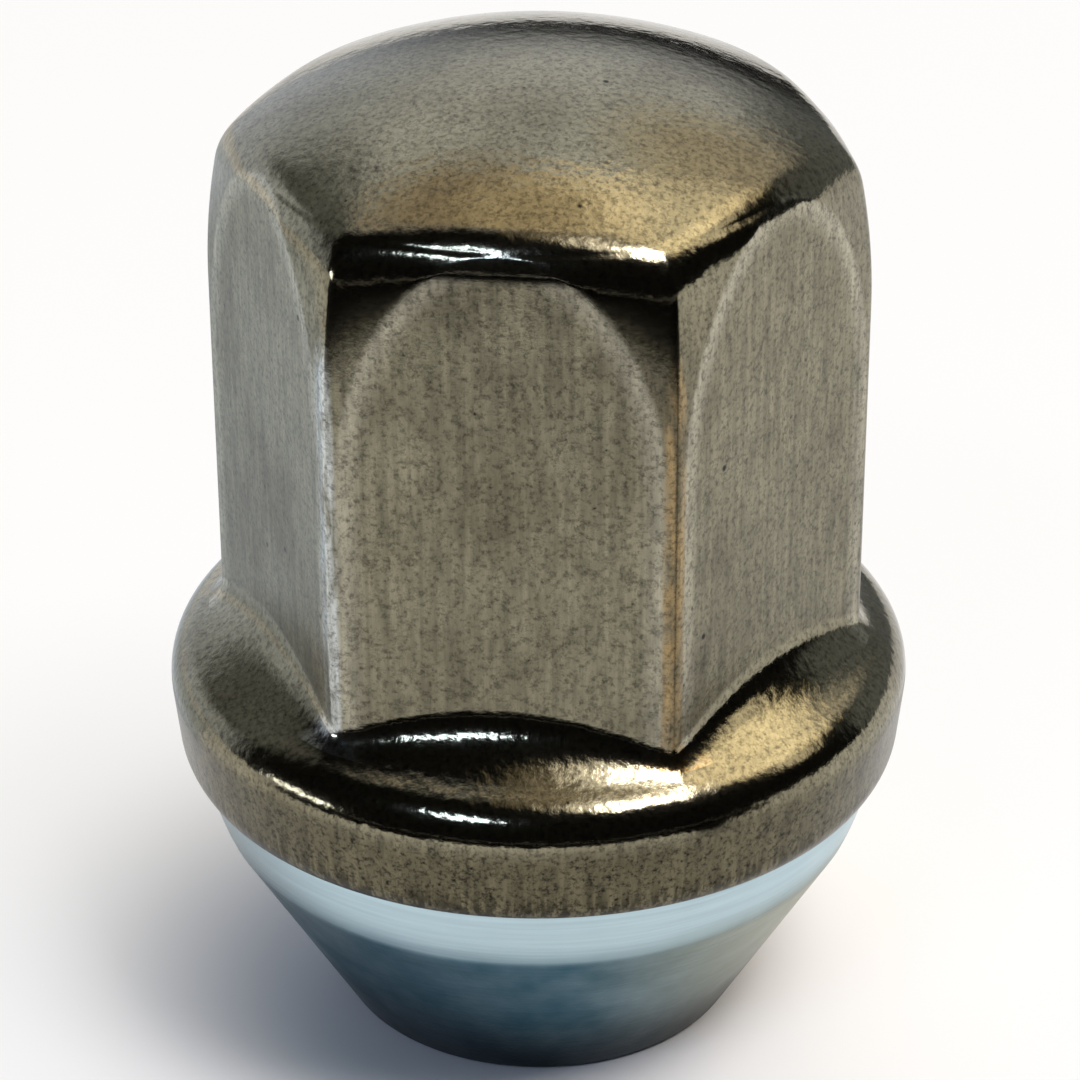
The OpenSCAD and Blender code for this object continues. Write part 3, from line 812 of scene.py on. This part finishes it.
def add_flag(name, turns, near, far, material):
    """A sheet on the floor round part of the nut, from near to far, which only the metal shows."""
    count = len(turns)
    points = [
        (r * sin(a), -r * cos(a), FLAG_LIFT)
        for reach in (near, np.full(count, far)) for a, r in zip(turns, reach)]
    faces = [[i, i + 1, i + count + 1, i + count] for i in range(count - 1)]
    mesh = bpy.data.meshes.new(name)
    mesh.from_pydata(points, [], faces)
    mesh.materials.append(material)
    flag = bpy.data.objects.new(name, mesh)
    bpy.context.scene.collection.objects.link(flag)
    flag.visible_camera = flag.visible_diffuse = flag.visible_shadow = False


def studio_world(room, areas):
    """A dark room with soft-edged light areas over each other.

    Each is (turn, rise, spread, softness, tint, radiance), with all angles in degrees.
    """
    world = bpy.data.worlds.new("studio")
    world.use_nodes = True
    tree = world.node_tree
    tree.nodes.clear()
    way = node(tree, "ShaderNodeTexCoord").outputs["Generated"]
    light = room
    for turn, rise, spread, softness, tint, radiance in areas:
        along = node(tree, "ShaderNodeVectorMath", {
            0: way, 1: toward(radians(turn), radians(rise))}, operation="DOT_PRODUCT").outputs["Value"]
        outside, inside = cos(radians(spread + softness)), cos(radians(spread - softness))
        share = node(tree, "ShaderNodeMapRange", {
            "Value": along, "From Min": outside, "From Max": inside},
            interpolation_type="SMOOTHSTEP").outputs["Result"]
        light = node(tree, "ShaderNodeMix", {
            MIX_FACTOR: share, MIX_A: light, MIX_B: tuple(radiance * c for c in linear(tint))},
            data_type="RGBA").outputs[MIX_RESULT]
    background = node(tree, "ShaderNodeBackground", {"Color": light})
    node(tree, "ShaderNodeOutputWorld", {"Surface": background.outputs["Background"]})
    return world


class LUGNUT_OT_cap(bpy.types.Operator):
    """Build the drawn stainless cap"""

    bl_idname = "lugnut.cap"
    bl_label = "Drawn Cap"

    def execute(self, context):
        scene = context.scene
        points, faces = cap_mesh(scene.lugnut_cap)
        piece = add_piece(
            "drawn_cap", points, faces, drawn_stainless(scene.lugnut_finish, scene.lugnut_cap),
            "stainless_cap")
        edge = piece.data.attributes.new("edge_distance", "FLOAT", "POINT")
        edge.data.foreach_set("value", CapForm(scene.lugnut_cap).edge_distance(np.asarray(points)) / MM)
        return {"FINISHED"}


class LUGNUT_OT_nut(bpy.types.Operator):
    """Build the plated nut with its seat and thread"""

    bl_idname = "lugnut.nut"
    bl_label = "Plated Nut"

    def execute(self, context):
        scene = context.scene
        points, faces = nut_mesh(scene.lugnut_cap, scene.lugnut_nut)
        add_piece(
            "plated_nut", points, faces, zinc_plate(scene.lugnut_finish),
            "nut_body")
        return {"FINISHED"}


class LUGNUT_OT_stage(bpy.types.Operator):
    """Set up the floor, the light and the camera"""

    bl_idname = "lugnut.stage"
    bl_label = "Plain Studio"

    def execute(self, context):
        scene = context.scene
        settings = scene.lugnut_stage
        scene.view_settings.view_transform = "Standard"

        turns = np.linspace(0, 2 * pi, FLOOR_STEPS, endpoint=False)
        rim = [(FLOOR_RADIUS * cos(a), FLOOR_RADIUS * sin(a), 0.0) for a in turns]
        mesh = bpy.data.meshes.new("floor")
        mesh.from_pydata(rim, [], [list(range(FLOOR_STEPS))])
        mesh.materials.append(matt_floor(settings))
        floor = bpy.data.objects.new("floor", mesh)
        scene.collection.objects.link(floor)

        # Cool walls behind and at the left, a grey area on each side, and warm areas above and at the right
        scene.world = studio_world(tuple(settings.room), [
            (-174, 50, 33, 14, "#f4f7ff", 1.13),
            (-130, 4, 32, 12, "#eaf1ff", 1.05),
            (142, 10, 24, 6, "#e8eef0", 0.3),
            (-120, 36, 16, 8, "#e8eef0", 0.3),
            (152, 44, 10, 10, "#fff2de", 1.1),
            (-138, 67, 10, 8, "#ffe9cc", 0.8),
            (78, 80, 12, 8, "#ffecd0", 0.5),
            (60, 68, 12, 6, "#fff6ec", 2.6),
            (116, 55, 15, 8, "#ffedcc", 3.0),
            (141, 62, 8, 6, "#fff0d6", 1.8),
            (164, 73, 9, 6, "#ffeccc", 2.7),
            (-172, 75, 9, 7, "#ffe8c4", 1.1),
            (101, 36, 6, 4, "#fff0d6", 1.6),
        ])
        # The large lamp lights the floor, and the metal shows only the small ones
        ceiling = add_lamp("ceiling_lamp", (36, 60), (100, 52), 26, "#fbfbff", 2.7)
        ceiling.visible_glossy = False
        add_lamp("spot_lamp", (42, 66), (74, 57), 18, "#fffafc", 12.0)
        add_lamp("window", (-33, 44), (-8, 41), 5, "#c8ddff", 14.0)
        add_lamp("low_lamp", (-76, 4), (-56, 4), 6, "#f2f6ff", 8.0)

        # A dark cloth lies in front of the nut, under the camera, with a tongue towards it on the right.
        # It shows only as the black in bent metal
        turns = np.linspace(-CLOTH_HALF_TURN, CLOTH_HALF_TURN, CLOTH_STEPS + 1)
        near = np.interp(turns, TONGUE_TURNS, [CLOTH_NEAR, TONGUE_NEAR, TONGUE_NEAR, CLOTH_NEAR])
        add_flag("dark_cloth", turns, near, CLOTH_FAR, dark_cloth(settings))
        # A cool card lies at the left, beside the view, and shows in the left flat
        turns = np.linspace(*CARD_TURNS, CARD_STEPS + 1)
        add_flag("cool_card", turns, np.full_like(turns, CARD_NEAR), CARD_FAR, cool_card(settings))

        data = bpy.data.cameras.new("camera")
        data.lens = settings.lens
        data.shift_x = settings.shift
        data.clip_start = CLIP_START
        camera = bpy.data.objects.new("camera", data)
        scene.collection.objects.link(camera)
        way = toward(settings.turn, settings.rise)
        camera.location = Vector((0, 0, settings.look_height)) + way * settings.distance
        level = way.to_track_quat("Z", "Y")
        camera.rotation_euler = (level @ Quaternion((0, 0, 1), settings.roll)).to_euler()
        scene.camera = camera
        return {"FINISHED"}


class LUGNUT_PT_panel(bpy.types.Panel):
    """Sizes, finishes and the steps that build the nut"""

    bl_label = "Lug Nut"
    bl_space_type = "VIEW_3D"
    bl_region_type = "UI"
    bl_category = "Lug Nut"

    def draw(self, context):
        layout = self.layout
        for group in ("lugnut_cap", "lugnut_nut", "lugnut_finish", "lugnut_stage"):
            settings = getattr(context.scene, group)
            box = layout.box()
            box.label(text=settings.bl_rna.description)
            for name in settings.__annotations__:
                box.prop(settings, name)
        for operator in (LUGNUT_OT_cap, LUGNUT_OT_nut, LUGNUT_OT_stage):
            layout.operator(operator.bl_idname)


CLASSES = (
    CapSizes, NutSizes, Finishes, StageSettings,
    LUGNUT_OT_cap, LUGNUT_OT_nut, LUGNUT_OT_stage, LUGNUT_PT_panel)


def register():
    for item in CLASSES:
        bpy.utils.register_class(item)
    bpy.types.Scene.lugnut_cap = PointerProperty(type=CapSizes)
    bpy.types.Scene.lugnut_nut = PointerProperty(type=NutSizes)
    bpy.types.Scene.lugnut_finish = PointerProperty(type=Finishes)
    bpy.types.Scene.lugnut_stage = PointerProperty(type=StageSettings)


def unregister():
    for name in ("lugnut_cap", "lugnut_nut", "lugnut_finish", "lugnut_stage"):
        delattr(bpy.types.Scene, name)
    for item in reversed(CLASSES):
        bpy.utils.unregister_class(item)


def main():
    register()
    bpy.ops.lugnut.cap()
    bpy.ops.lugnut.nut()
    bpy.ops.lugnut.stage()


if __name__ == "__main__":
    main()
